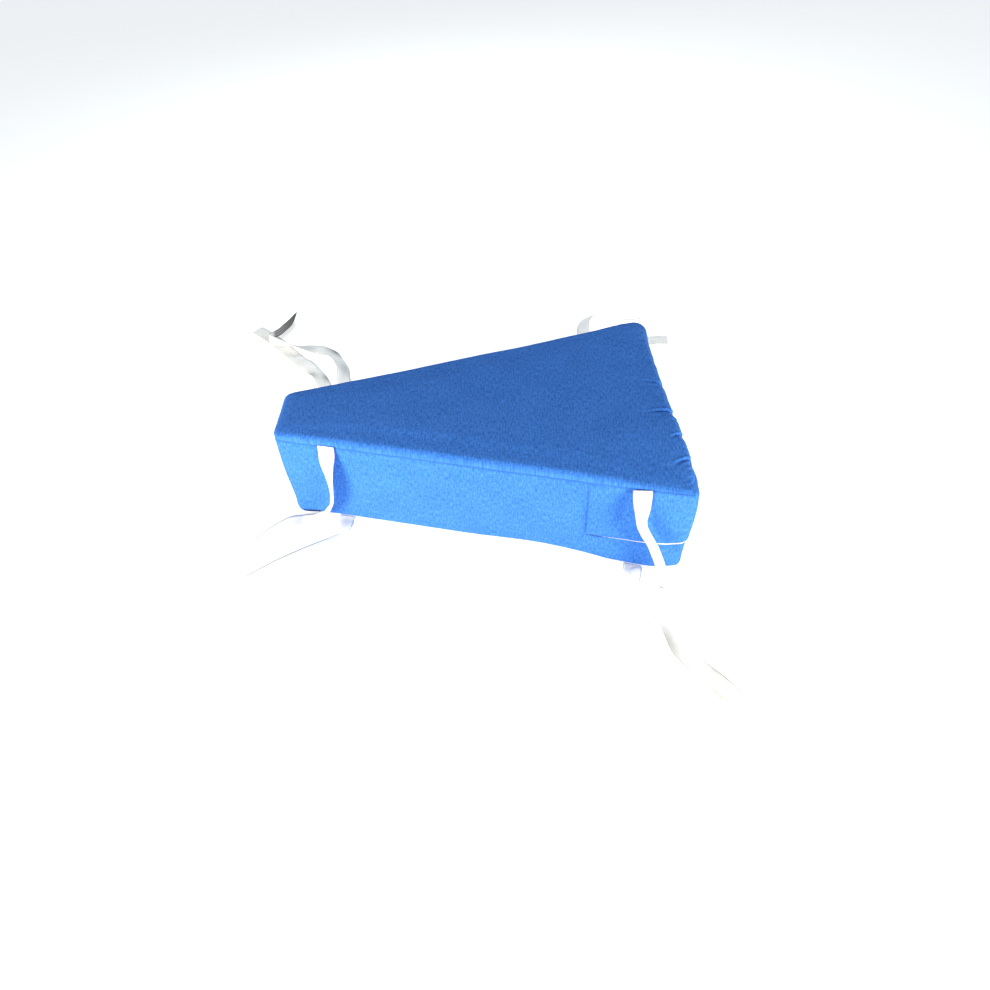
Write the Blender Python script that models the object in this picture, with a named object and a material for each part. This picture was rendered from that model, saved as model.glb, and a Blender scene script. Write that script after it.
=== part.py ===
"""Hip abduction pillow: a foam wedge in a sewn cotton cover, with a closure flap and eight tape ties.

Metres, +Z up. The origin is the middle of the underside. +X points to the wide end, and -Y to the
near long side, which carries the start of the closure flap.
"""

import math

import bmesh
import bpy
from mathutils import Vector

MM = 0.001

# Driving dimensions of the wedge
LENGTH = 457 * MM
NARROW_WIDTH = 78 * MM
WIDE_WIDTH = 305 * MM
HEIGHT = 130 * MM
EDGE_RADIUS = 8 * MM
NEAR_CORNER_RADIUS = 12 * MM
FAR_CORNER_RADIUS = 26 * MM

# How the filled cover swells. A power says how far a swell stays full before it falls to the edges.
CROWN = 4 * MM
CROWN_POWER = 2.5
SIDE_SWELL = 2.5 * MM
SIDE_POWER = 6
NARROW_END_SWELL = 4 * MM
WIDE_END_SWELL = 2 * MM
END_POWER = 8
OWN_SIDE_POWER = 4
NARROW_END_PUSH = 3 * MM
WIDE_PUSH_AT_FOOT = 0.4
END_ZONE = 60 * MM

# Mesh stations
RIM_STEPS = (0.0, 0.45, 1.0)
STATIONS_LENGTHWISE = 15
STATION_AT_END = 7 * MM
STATIONS_AT_END = 7
STATIONS_ACROSS = 44
STATIONS_IN_HEIGHT = 4

# Cover edge away from a plain wedge, in mm: (share of the way, push outwards)
FAR_SIDE_PUSH = ((0.0, 0.0), (0.2, 0.0), (0.6, 4.0), (0.85, 9.0), (1.0, 13.0))
NEAR_FOOT_PUSH = (
    (0.0, 0.0), (0.45, -1.0), (0.64, -4.0), (0.73, -1.8), (0.82, 5.0), (0.92, 7.0), (1.0, 1.0),
)
WIDE_END_PUSH = (
    (0.0, 1.0), (0.1, 4.0), (0.2, 3.8), (0.32, 1.5), (0.5, -3.5), (0.68, -6.5), (0.84, -8.5), (1.0, -5.0),
)

# Puckers where the top is gathered into the wide end's seam, in mm:
# (share of the way from the near corner, length, depth, drift towards the far side)
PUCKERS = (
    (0.07, 9, 1.4, 4),
    (0.15, 24, 2.2, 13),
    (0.28, 15, 1.8, 5),
    (0.41, 36, 3.4, 5),
    (0.58, 24, 2.4, 9),
    (0.73, 20, 2.0, 1),
)
PUCKER_HALF_WIDTH = 3.2 * MM
PUCKER_INWARD = 0.6

# Soft dents of the near side, in mm: (along the side, height, half length, half height, depth)
DENTS = ((397, 72, 11, 34, 3.0), (78, 62, 7, 38, 3.0))

# Closure on the wide end
SEAM_HEIGHT = 121 * MM
SLIT_HEIGHT = 42.5 * MM
SLIT_RISE = 6 * MM
FLAP_START = 361 * MM
CLOTH = 1.2 * MM
GAP = 0.4 * MM
CLOSURE_TAPE_THICK = 1.0 * MM
CLOSURE_TAPE_TALL = 16 * MM
CLOSURE_TAPE_SHOWS = 2.0 * MM
FLAP_SETTLES_FROM = 0.3
FLAP_SETTLES_OVER = 0.5

# Ties
TIE_WIDTH = 20 * MM
TIE_THICK = 1.2 * MM
TIE_STEP = 7 * MM
ROOT_FROM_NARROW = 63 * MM
ROOT_FROM_WIDE = 54 * MM
UPPER_ROOT_HEIGHT = 122.5 * MM
LOWER_ROOT_HEIGHT = 0.1 * MM

# Routes of the ties from their roots, in mm and degrees: (along the side, out from it, height of the
# lowest point, twist). A twist of 0 keeps the tape flat against the side and then flat on the floor.
TIE_ROUTES = {
    "tie_near_wide_upper": (
        (1, 7, 112, -8), (2, 10, 104, -22), (3, 14, 96, -48), (4, 17, 88, -67), (7, 19, 80, -74),
        (12, 20, 70, -75), (18, 21, 58, -73), (24, 22, 45, -71), (29, 23, 32, -70), (33, 25, 19, -67),
        (37, 29, 7, -59), (41, 35, 1, -47), (46, 44, 1, -46), (50.5, 56, 1, -52), (54, 67, 1, -57),
        (57.5, 80, 1.6, -61), (61, 93, 2.3, -61), (65, 104, 2.4, -56), (70, 113, 2.3, -40),
        (77, 121, 2, -16), (89, 130, 1.9, 0), (103, 139, 1.9, 0), (118, 152, 1.9, 0),
    ),
    "tie_near_wide_lower": (
        (0, 9, 0.2, 0), (2, 15, 0.2, 22), (4.7, 23, 0.2, 46), (6.2, 34, 0.2, 60), (7.2, 46, 0.2, 75),
        (9.3, 57, 0.2, 95), (13.5, 63, 0.2, 112), (19.5, 67, 0.2, 120), (28, 73, 0.2, 121),
        (37, 80, 0.2, 124), (45, 89, 0.2, 138), (52, 97, 0.2, 156), (59, 104, 0.1, 174),
        (66, 110, 0.1, 180), (75, 118, 0.1, 180), (86, 127, 0.1, 180), (98, 136, 0.1, 180),
        (110, 146, 0.1, 180),
    ),
    "tie_near_narrow_upper": (
        (0, 4.5, 112, 2), (-0.5, 8.5, 102, 14), (-0.5, 12, 90, 30), (-0.5, 14, 77, 43), (-1.5, 15, 62, 51),
        (-3, 16, 51, 55), (-6, 16, 42, 58), (-9.5, 16, 34, 62), (-15, 16, 26, 64), (-24, 16, 15, 54),
        (-37, 15.5, 5, 27), (-51, 16.5, 0.6, 6), (-65, 21, 0.2, 0), (-75, 31, 0.2, 0), (-83, 44, 0.2, 0),
        (-90, 59, 0.2, 0), (-97, 77, 0.2, 0),
    ),
    "tie_near_narrow_lower": (
        (0, 4, 0.2, 0), (2.5, 10, 0.3, 3), (5, 15, 0.3, 12), (7, 20, 0.4, 22), (8.5, 25, 0.4, 31),
        (8, 30, 0.4, 34), (4, 36, 0.4, 28), (-3, 43, 0.3, 14), (-13, 52, 0.2, 4), (-26, 63, 0.2, 0),
        (-40, 76, 0.2, 0), (-53, 89, 0.2, 0), (-65, 103, 0.2, 0), (-77, 118, 0.2, 0),
    ),
    "tie_far_narrow_upper": (
        (1, 6, 108, 0), (2, 11, 84, 4), (3, 15, 58, 6), (4, 20, 32, 4), (5, 30, 12, 0), (6, 47, 3, 0),
        (7, 70, 2.2, 0), (7, 98, 2.2, 0), (5, 130, 1.4, 0), (1, 160, 0.4, 0), (-2, 182, 0.4, 7),
        (0, 203, 0.6, 27), (-5, 228, 0.8, 31), (-14, 252, 0.6, 11), (-29, 268, 1.0, 0),
        (-46, 276, 2, 10), (-62, 281, 2.4, 30),
        (-78, 288, 2.4, 55), (-93, 297, 2.4, 76), (-104, 307, 2.4, 94), (-107, 314, 2.4, 108),
        (-101, 320, 2.4, 117), (-91, 328, 1.8, 118), (-82, 340, 0.4, 113), (-70, 356, 0.3, 112),
        (-63, 370, 0.3, 119), (-59, 379, 0.3, 130),
    ),
    "tie_far_narrow_lower": (
        (0, 4, 0.2, 0), (0, 20, 0.2, 0), (-3, 44, 0.2, 0), (-10, 80, 0.2, 0), (-20, 122, 0.2, 0),
        (-30, 166, 0.2, 0), (-38, 200, 0.4, 12), (-51, 228, 0.4, -10), (-64, 251, 0.2, 0),
        (-78, 279, 0.2, 0), (-91, 305, 0.2, 0), (-105, 329, 0.2, 0), (-118, 349, 0.2, 0),
        (-129, 364, 0.2, 0),
    ),
    "tie_far_wide_upper": (
        (1, 16, 106, 0), (3, 23, 82, -6), (6, 27, 56, -10), (10, 30, 32, -8), (17, 37, 12, -4),
        (27, 48, 3, 0), (38, 61, 1.9, 0), (50, 78, 0.6, 0), (65, 99, 0.2, 0), (84, 118, 0.2, 0),
        (104, 129, 0.2, 0), (126, 130, 0.2, 0), (149, 123, 0.2, 0),
    ),
    "tie_far_wide_lower": (
        (1, 22, 0.2, 0), (3, 44, 0.2, 0), (6, 80, 0.2, 0), (13, 120, 0.2, 0), (23, 158, 0.2, 0),
        (30, 182, 0.2, -10), (36, 199, 0.4, -24), (46, 211, 0.6, -33), (58, 216, 0.6, -33),
        (72, 213, 0.6, -33), (86, 204, 0.6, -36), (99, 192, 0.6, -34), (114, 186, 0.6, -31),
        (129, 185, 0.6, -33), (141, 178, 0.6, -40), (152, 164, 0.6, -43), (161, 152, 0.4, -43),
    ),
}

# Surfaces, colours linear
COVER_BLUE = (0.05, 0.19, 0.55, 1.0)
COVER_ROUGHNESS = 0.85
TIE_WHITE = (0.86, 0.86, 0.83, 1.0)
TIE_ROUGHNESS = 0.8
SHARP_ANGLE = math.radians(40)
FLAT_WITHIN = 0.01 * MM

SIDE_SLOPE = (WIDE_WIDTH - NARROW_WIDTH) / 2 / LENGTH
SIDE_LENGTH = math.hypot(LENGTH, LENGTH * SIDE_SLOPE)
FLAP_START_X = FLAP_START * LENGTH / SIDE_LENGTH - LENGTH / 2


def clamp(value, low, high):
    return max(low, min(high, value))


def smooth(value):
    """Smooth step from 0 at 0 to 1 at 1."""
    t = clamp(value, 0.0, 1.0)
    return t * t * (3 - 2 * t)


def along_table(rows, share):
    """Smooth reading of a table of (share, mm), in metres."""
    for (low, first), (high, last) in zip(rows, rows[1:]):
        if share <= high:
            return (first + (last - first) * smooth((share - low) / (high - low))) * MM
    return rows[-1][1] * MM


def half_width(x):
    return NARROW_WIDTH / 2 + SIDE_SLOPE * (x + LENGTH / 2)


def plan_radius(x, y):
    """Corner radius in plan: small along the edges, soft at the wide end's two corners."""
    corner = FAR_CORNER_RADIUS if y > 0 else NEAR_CORNER_RADIUS
    from_end = smooth((x - LENGTH / 2 + END_ZONE) / END_ZONE)
    from_side = smooth((abs(y) - half_width(x) + END_ZONE) / END_ZONE)
    return EDGE_RADIUS + (corner - EDGE_RADIUS) * from_end * from_side


def rounded(x, y, z):
    """A place on the sharp wedge moved onto its rounded edges and corners."""
    radius = plan_radius(x, y)
    reach = (radius, radius, EDGE_RADIUS)
    half = half_width(x)
    core = (
        clamp(x, -LENGTH / 2 + radius, LENGTH / 2 - radius),
        clamp(y, -half + radius, half - radius),
        clamp(z, EDGE_RADIUS, HEIGHT - EDGE_RADIUS),
    )
    offset = Vector([(a - b) / r for a, b, r in zip((x, y, z), core, reach)])
    offset.normalize()
    return Vector([b + o * r for b, o, r in zip(core, offset, reach)])


def pucker_depth(x, y):
    """Depth of the gathers at a place near the wide end's top edge."""
    depth = 0.0
    for share, length, deep, drift in PUCKERS:
        inward = (LENGTH / 2 - x) / (length * MM)
        if inward < 1:
            middle = (share - 0.5) * WIDE_WIDTH + drift * MM * clamp(inward, 0, 1)
            across = (y - middle) / PUCKER_HALF_WIDTH
            depth += deep * MM * math.exp(-across * across) * smooth(1 - inward)
    return depth


def dent_depth(x, z):
    """Depth of the soft dents of the near side."""
    along = (x + LENGTH / 2) / LENGTH * SIDE_LENGTH
    depth = 0.0
    for place, height, half_long, half_tall, deep in DENTS:
        a = (along - place * MM) / (half_long * MM)
        b = (z - height * MM) / (half_tall * MM)
        depth += deep * MM * math.exp(-a * a - b * b)
    return depth


def skin(x, y, z):
    """A place on the sharp wedge moved onto the filled cover."""
    lengthwise = 2 * x / LENGTH
    across = y / half_width(x)
    height = z / HEIGHT
    middle_height = 4 * height * (1 - height)
    upper = smooth(2 * height - 1)
    near_side = smooth(-across) ** OWN_SIDE_POWER
    far_side = smooth(across) ** OWN_SIDE_POWER
    wide_end = smooth((x - LENGTH / 2 + END_ZONE) / END_ZONE)
    end_face = abs(lengthwise) ** END_POWER * (1 - abs(across) ** SIDE_POWER)
    place = rounded(x, y, z)
    crown = (1 - abs(lengthwise) ** CROWN_POWER) * (1 - abs(across) ** CROWN_POWER)
    place.z += CROWN * upper * crown
    side_swell = SIDE_SWELL * middle_height * (1 - abs(lengthwise) ** SIDE_POWER)
    place.y += side_swell * (far_side - near_side)
    place.y += along_table(FAR_SIDE_PUSH, lengthwise / 2 + 0.5) * far_side
    place.y -= along_table(NEAR_FOOT_PUSH, lengthwise / 2 + 0.5) * near_side * (1 - height) ** 2
    place.y += dent_depth(x, z) * near_side
    place.x -= NARROW_END_PUSH * smooth((-x - LENGTH / 2 + END_ZONE) / END_ZONE)
    end_swell = WIDE_END_SWELL if x > 0 else NARROW_END_SWELL
    place.x += math.copysign(end_swell, x) * middle_height * end_face
    share_of_push = WIDE_PUSH_AT_FOOT + (1 - WIDE_PUSH_AT_FOOT) * height
    place.x += along_table(WIDE_END_PUSH, across / 2 + 0.5) * wide_end * share_of_push
    gather = pucker_depth(x, y) * smooth(4 * height - 3)
    place.z -= gather
    place.x -= PUCKER_INWARD * gather * wide_end
    return place


def rim_and_middle(total, middle):
    """Distances from one face to the other: close steps in both rims, the given places between."""
    rim = [EDGE_RADIUS * step for step in RIM_STEPS]
    return rim + middle + [total - place for place in reversed(rim)]


def even(low, high, count):
    """Evenly spaced places strictly between two ends."""
    return [low + (high - low) * i / (count + 1) for i in range(1, count + 1)]


def lengthwise_stations():
    dense_from = LENGTH - EDGE_RADIUS - STATION_AT_END * STATIONS_AT_END
    plain = even(EDGE_RADIUS, dense_from, STATIONS_LENGTHWISE)
    dense = [dense_from + STATION_AT_END * i for i in range(STATIONS_AT_END)]
    return rim_and_middle(LENGTH, plain + dense)


def across_stations(width):
    return rim_and_middle(width, even(EDGE_RADIUS, width - EDGE_RADIUS, STATIONS_ACROSS))


def height_stations():
    return rim_and_middle(HEIGHT, even(EDGE_RADIUS, HEIGHT - EDGE_RADIUS, STATIONS_IN_HEIGHT))


def cut_block(counts):
    """A closed block with one face a step, its corner at the origin."""
    bm = bmesh.new()
    bmesh.ops.create_cube(bm, size=1)
    bmesh.ops.translate(bm, verts=bm.verts, vec=(0.5, 0.5, 0.5))
    bmesh.ops.scale(bm, verts=bm.verts, vec=counts)
    for axis, count in enumerate(counts):
        normal = [0, 0, 0]
        normal[axis] = 1
        for step in range(1, count):
            cut = [step * part for part in normal]
            geometry = bm.verts[:] + bm.edges[:] + bm.faces[:]
            bmesh.ops.bisect_plane(bm, geom=geometry, plane_co=cut, plane_no=normal)
    return bm


def cover_mesh():
    """The filled cover as a bmesh: a block whose steps are moved onto the wedge's skin."""
    xs = lengthwise_stations()
    zs = height_stations()
    steps_across = len(across_stations(WIDE_WIDTH)) - 1
    bm = cut_block((len(xs) - 1, steps_across, len(zs) - 1))
    for vert in bm.verts:
        i, j, k = (round(part) for part in vert.co)
        x = xs[i] - LENGTH / 2
        width = 2 * half_width(x)
        vert.co = skin(x, across_stations(width)[j] - width / 2, zs[k])
    bmesh.ops.triangulate(bm, faces=bm.faces)
    return bm


def trim(bm, point, normal):
    """Cut away what lies behind a plane."""
    geometry = bm.verts[:] + bm.edges[:] + bm.faces[:]
    bmesh.ops.bisect_plane(bm, geom=geometry, plane_co=point, plane_no=normal, clear_inner=True)


def material(name, colour, roughness):
    made = bpy.data.materials.new(name)
    made.use_nodes = True
    shader = made.node_tree.nodes["Principled BSDF"]
    shader.inputs["Base Color"].default_value = colour
    shader.inputs["Roughness"].default_value = roughness
    shader.inputs["Metallic"].default_value = 0.0
    return made


def finish(bm, name, surface):
    """A named object from a bmesh, shaded smooth but for its sharp edges."""
    mesh = bpy.data.meshes.new(name)
    bm.to_mesh(mesh)
    bm.free()
    mesh.shade_smooth()
    mesh.set_sharp_from_angle(angle=SHARP_ANGLE)
    mesh.materials.append(surface)
    made = bpy.data.objects.new(name, mesh)
    bpy.context.scene.collection.objects.link(made)
    return made


def thicken(made, thickness, offset):
    shell = made.modifiers.new("cloth", "SOLIDIFY")
    shell.thickness = thickness
    shell.offset = offset
    shell.use_even_offset = False


def make_pillow(surface):
    """One closed solid, flat underneath."""
    bm = cover_mesh()
    floor = [face for face in bm.faces if all(vert.co.z < FLAT_WITHIN for vert in face.verts)]
    bmesh.ops.dissolve_faces(bm, faces=floor, use_verts=True)
    return finish(bm, "pillow", surface)


def slit_height(x):
    """The slit climbs gently towards the wide end."""
    return SLIT_HEIGHT + SLIT_RISE * clamp((x - FLAP_START_X) / (LENGTH / 2 - FLAP_START_X), 0, 1)


def wrap(low_drop, high, lift):
    """A strip of the cover's skin round the wide end, from a drop below the slit up to a height.

    The strip is lifted off the skin by lift(height share between the slit and the strip's top).
    """
    rise = Vector((-SLIT_RISE, 0, LENGTH / 2 - FLAP_START_X)).normalized()
    bm = cover_mesh()
    trim(bm, (FLAP_START_X, 0, 0), (1, 0, 0))
    trim(bm, (FLAP_START_X, 0, SLIT_HEIGHT - low_drop), rise)
    trim(bm, (FLAP_START_X, 0, high), -rise if high < SEAM_HEIGHT else (0, 0, -1))
    bm.normal_update()
    moves = []
    for vert in bm.verts:
        slit = slit_height(vert.co.x)
        share = clamp((vert.co.z - slit) / (SEAM_HEIGHT - slit), 0, 1)
        moves.append(vert.normal * lift(share))
    for vert, move in zip(bm.verts, moves):
        vert.co += move
    return bm


def make_closure_tape(surface):
    """The white tape that lies under the flap and shows as a line in the slit."""
    top = SLIT_HEIGHT + CLOSURE_TAPE_TALL - CLOSURE_TAPE_SHOWS
    made = finish(wrap(CLOSURE_TAPE_SHOWS, top, lambda share: GAP), "closure_tape", surface)
    thicken(made, CLOSURE_TAPE_THICK, 1)
    return made


def flap_lift(share):
    """The flap hugs the cover at the seam and lies over the closure tape at the slit."""
    settled = smooth((share - FLAP_SETTLES_FROM) / FLAP_SETTLES_OVER)
    return GAP + (CLOSURE_TAPE_THICK + GAP) * (1 - settled)


def make_flap(surface):
    made = finish(wrap(0, SEAM_HEIGHT, flap_lift), "closure_flap", surface)
    thicken(made, CLOTH, 1)
    return made


def side_frame(side):
    """Directions along and out from a long side, and its corner at the narrow end."""
    sign = -1 if side == "near" else 1
    along = Vector((LENGTH, sign * LENGTH * SIDE_SLOPE, 0)).normalized()
    out = Vector((-along.y * sign, along.x * sign, 0))
    return along, out, Vector((-LENGTH / 2, sign * NARROW_WIDTH / 2, 0))


def smooth_route(points):
    """A curve through the points, read about every step."""
    ends = [points[0] * 2 - points[1]] + points + [points[-1] * 2 - points[-2]]
    route = []
    for a, b, c, d in zip(ends, ends[1:], ends[2:], ends[3:]):
        steps = max(1, round((c - b).to_3d().length / TIE_STEP))
        for step in range(steps):
            t = step / steps
            slope = (c - a) * t
            bend = (a * 2 - b * 5 + c * 4 - d) * t ** 2
            turn = (b * 3 - a - c * 3 + d) * t ** 3
            route.append((b * 2 + slope + bend + turn) / 2)
    return route + [points[-1]]


def tangents(places):
    """Direction of travel at each place."""
    ahead = places[1:] + places[-1:]
    behind = places[:1] + places[:-1]
    return [(b - a).normalized() for a, b in zip(behind, ahead)]


def tape_widths(directions, twists, along, out):
    """Width direction at each place: flat on the side where the tape hangs and flat on the floor where
    it lies, then twisted about the direction of travel."""
    widths = []
    for direction, twist in zip(directions, twists):
        face = Vector((0, 0, direction.xy.length)) - out * direction.z
        flat = direction.cross(face).normalized()
        if out.cross(along).z > 0:
            flat.negate()
        turn = math.radians(twist)
        widths.append(flat * math.cos(turn) + direction.cross(flat) * math.sin(turn))
    return widths


def make_tie(name, rows, surface):
    """A flat tape laid along its route, thickened to a closed strip."""
    _, side, end, level = name.split("_")
    along, out, corner = side_frame(side)
    from_corner = ROOT_FROM_NARROW if end == "narrow" else SIDE_LENGTH - ROOT_FROM_WIDE
    root = corner + along * from_corner
    if level == "upper":
        cloth_under = GAP + CLOTH if end == "wide" else 0
        over = cloth_under + 2 * GAP + TIE_THICK / 2
        start = skin(root.x, root.y, UPPER_ROOT_HEIGHT) - root
        first = (0, (start.dot(out) + over) / MM, UPPER_ROOT_HEIGHT / MM, 0)
    else:
        start = skin(root.x, root.y, 0) - root
        first = (0, (start.dot(out) - GAP) / MM, LOWER_ROOT_HEIGHT / MM, 0)
    table = [first] + list(rows)
    points = [Vector((a * MM, b * MM, c * MM, d)) for a, b, c, d in table]
    route = smooth_route(points)
    twists = [point[3] for point in route]
    places = [root + along * p[0] + out * p[1] + Vector((0, 0, p[2])) for p in route]
    directions = tangents(places)
    widths = tape_widths(directions, twists, along, out)
    centres = []
    for place, direction, width in zip(places, directions, widths):
        face = direction.cross(width)
        rise = TIE_WIDTH / 2 * abs(width.z) + TIE_THICK / 2 * abs(face.z)
        centres.append(place + Vector((0, 0, rise)))
    bm = bmesh.new()
    strip = bmesh.ops.create_grid(bm, x_segments=len(centres) - 1, y_segments=1, size=1)["verts"]
    strip.sort(key=lambda vert: (round(vert.co.y), vert.co.x))
    for verts, sign in ((strip[:len(centres)], -1), (strip[len(centres):], 1)):
        for vert, centre, width in zip(verts, centres, widths):
            vert.co = centre + width * sign * TIE_WIDTH / 2
    made = finish(bm, name, surface)
    thicken(made, TIE_THICK, 0)
    return made


def main():
    for old in list(bpy.data.objects):
        bpy.data.objects.remove(old, do_unlink=True)
    make_pillow(material("blue_cotton_cover", COVER_BLUE, COVER_ROUGHNESS))
    make_flap(material("blue_cotton_flap", COVER_BLUE, COVER_ROUGHNESS))
    make_closure_tape(material("white_closure_tape", TIE_WHITE, TIE_ROUGHNESS))
    for name, rows in TIE_ROUTES.items():
        make_tie(name, rows, material("white_cotton_" + name, TIE_WHITE, TIE_ROUGHNESS))


main()
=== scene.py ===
# %% [markdown]
# # Dressing a hip abduction pillow
# The real thing is a firm foam wedge in a sewn cotton cover, with white tape ties that hold it between a
# patient's legs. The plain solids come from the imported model. This lesson gives each of them its finish:
# a filled cover with gathered seams, a closure flap, eight woven tapes and the stitches.

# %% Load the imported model
import math

import bmesh
import bpy
from mathutils import Matrix, Quaternion, Vector, noise
from mathutils.bvhtree import BVHTree


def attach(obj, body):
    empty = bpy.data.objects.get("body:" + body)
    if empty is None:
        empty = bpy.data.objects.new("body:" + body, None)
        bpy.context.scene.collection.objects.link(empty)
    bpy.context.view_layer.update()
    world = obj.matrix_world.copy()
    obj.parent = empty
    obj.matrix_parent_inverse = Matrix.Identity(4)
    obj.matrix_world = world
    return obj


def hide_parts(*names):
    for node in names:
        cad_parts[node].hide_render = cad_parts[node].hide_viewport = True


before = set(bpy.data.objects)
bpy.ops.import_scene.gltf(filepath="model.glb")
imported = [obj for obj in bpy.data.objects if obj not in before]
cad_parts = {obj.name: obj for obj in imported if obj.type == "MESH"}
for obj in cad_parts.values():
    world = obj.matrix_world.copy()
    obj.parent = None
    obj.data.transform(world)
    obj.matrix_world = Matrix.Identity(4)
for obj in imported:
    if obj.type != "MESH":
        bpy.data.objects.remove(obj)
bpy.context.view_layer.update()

# %% [markdown]
# The wedge has four driving sizes, the same ones that its solids have. Everything else is measured from
# them. A long side is described by a direction along it, a direction out of it and its narrow corner,
# so that seams and ties can be placed in millimetres along the side, as a sewer would mark them.

# %% Sizes of the wedge
MM = 0.001
LENGTH = 457 * MM
NARROW_WIDTH = 78 * MM
WIDE_WIDTH = 305 * MM
HEIGHT = 130 * MM
SIDE_SLOPE = (WIDE_WIDTH - NARROW_WIDTH) / 2 / LENGTH
SIDE_LENGTH = math.hypot(LENGTH, LENGTH * SIDE_SLOPE)


def side_frame(side):
    sign = -1 if side == "near" else 1
    along = Vector((LENGTH, sign * LENGTH * SIDE_SLOPE, 0)).normalized()
    out = Vector((-along.y * sign, along.x * sign, 0))
    return along, out, Vector((-LENGTH / 2, sign * NARROW_WIDTH / 2, 0))


def clamp(value, low, high):
    return max(low, min(high, value))


def smooth(value):
    t = clamp(value, 0.0, 1.0)
    return t * t * (3 - 2 * t)


def bump_shape(distance, half_width):
    """1 in the middle, falling softly to 0 within about two half widths."""
    return math.exp(-(distance / half_width) ** 2)


print("long side in mm:", round(SIDE_LENGTH / MM, 1))

# %% [markdown]
# A few small tools are used again and again. They put a mesh in the scene, bake a piece's modifiers into
# its mesh, find a mesh's surface, and say how a finished piece belongs to the model.

# %% Helpers for pieces
def add_piece(name, mesh):
    piece = bpy.data.objects.new(name, mesh)
    bpy.context.scene.collection.objects.link(piece)
    return piece


def mesh_from(bm, name):
    mesh = bpy.data.meshes.new(name)
    bm.to_mesh(mesh)
    bm.free()
    mesh.shade_smooth()
    return mesh


def bake_modifiers(piece):
    graph = bpy.context.evaluated_depsgraph_get()
    baked = bpy.data.meshes.new_from_object(piece.evaluated_get(graph))
    piece.modifiers.clear()
    piece.data = baked


def surface_tree(mesh):
    """A mesh's surface, ready to say where a ray meets it."""
    return BVHTree.FromPolygons([v.co for v in mesh.vertices], [tuple(p.vertices) for p in mesh.polygons])


def belongs(piece, node):
    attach(piece, "root")
    if node:
        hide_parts(node)


# %% [markdown]
# Colours are written as sRGB hex values, the way a colour picker shows them, and turned to linear light
# by one function. A second small function adds a shader node with its settings and links, so a
# material reads from top to bottom like a recipe.

# %% Helpers for materials
def linear(hex_colour):
    """Linear light from an sRGB hex value, by the standard sRGB curve."""
    parts = [int(hex_colour[i:i + 2], 16) / 255 for i in (1, 3, 5)]
    return [part / 12.92 if part <= 0.04045 else ((part + 0.055) / 1.055) ** 2.4 for part in parts] + [1]


def add_node(tree, kind, inputs, **settings):
    node = tree.nodes.new(kind)
    for name, value in settings.items():
        setattr(node, name, value)
    for socket, value in inputs.items():
        if isinstance(value, bpy.types.NodeSocket):
            tree.links.new(value, node.inputs[socket])
        else:
            node.inputs[socket].default_value = value
    return node


def start_material(name):
    made = bpy.data.materials.new(name)
    made.use_nodes = True
    return made, made.node_tree, made.node_tree.nodes["Principled BSDF"]


print("cover blue in linear light:", [round(part, 3) for part in linear("#3B7FD0")[:3]])

# %% [markdown]
# ## Camera
# The wedge is seen from its near side and from above, close enough for strong perspective. The camera
# was fitted to the wedge's corners at its real size, so its place is in metres.

# %% Camera
CAMERA_PLACE = Vector((0.0470, -0.6413, 0.6536))
CAMERA_LOOK = Vector((-0.03262, 0.68560, -0.72724))
CAMERA_ROLL = math.radians(-4.149)
CAMERA_LENS = 25.65
SENSOR_WIDTH = 36
CLIP_START = 10 * MM

camera = bpy.data.objects.new("photo_camera", bpy.data.cameras.new("photo_camera"))
camera.data.lens = CAMERA_LENS
camera.data.sensor_width = SENSOR_WIDTH
camera.data.clip_start = CLIP_START
camera.rotation_mode = "QUATERNION"
camera.location = CAMERA_PLACE
camera.rotation_quaternion = CAMERA_LOOK.to_track_quat("-Z", "Y") @ Quaternion((0, 0, 1), CAMERA_ROLL)
bpy.context.scene.collection.objects.link(camera)
bpy.context.scene.camera = camera
print("camera height in mm:", round(CAMERA_PLACE.z / MM))

# %% [markdown]
# ## Studio
# Both ends of the near side are brighter than its middle, and each hanging tie has its soft shade on the
# side that faces the other tie. Two low softboxes, one towards each end, give both. The top gets only a
# third of the side's light, so these boxes stand low. A weaker one behind keeps the far ties white. The
# floor is a white sheet that glows a little, as a light table does, which keeps shadows pale.

# %% Floor and lights
WARM = "#FFF7ED"
COOL = "#ECF7FF"

# Places and aims in metres
SOFTBOXES = {
    "left_softbox": {
        "place": (-0.72, -0.66, 0.25), "aim": (-0.14, -0.06, 0.07), "watts": 12, "tint": WARM,
    },
    "right_softbox": {
        "place": (0.72, -0.72, 0.25), "aim": (0.18, -0.14, 0.07), "watts": 10.5, "tint": WARM,
    },
    "back_softbox": {
        "place": (-0.05, 1.30, 1.10), "aim": (-0.05, 0.28, 0.0), "watts": 9, "tint": COOL,
    },
}
SOFTBOX_SIZE = 0.34
ROOM_LIGHT = 0.34
FLOOR_SIZE = 40.0
FLOOR_GLOW = 0.58


def make_floor():
    bm = bmesh.new()
    bmesh.ops.create_grid(bm, x_segments=1, y_segments=1, size=FLOOR_SIZE / 2)
    floor = add_piece("floor", mesh_from(bm, "floor"))
    paper, _, shader = start_material("white_paper_sweep")
    shader.inputs["Base Color"].default_value = linear("#F6F6F6")
    shader.inputs["Roughness"].default_value = 0.95
    shader.inputs["Emission Color"].default_value = linear("#FFFFFF")
    shader.inputs["Emission Strength"].default_value = FLOOR_GLOW
    floor.data.materials.append(paper)


def make_softbox(name, place, aim, watts, tint):
    light = bpy.data.lights.new(name, "AREA")
    light.shape = "SQUARE"
    light.size = SOFTBOX_SIZE
    light.energy = watts
    light.color = linear(tint)[:3]
    box = bpy.data.objects.new(name, light)
    box.location = place
    box.rotation_euler = (Vector(aim) - Vector(place)).to_track_quat("-Z", "Y").to_euler()
    bpy.context.scene.collection.objects.link(box)


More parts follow.
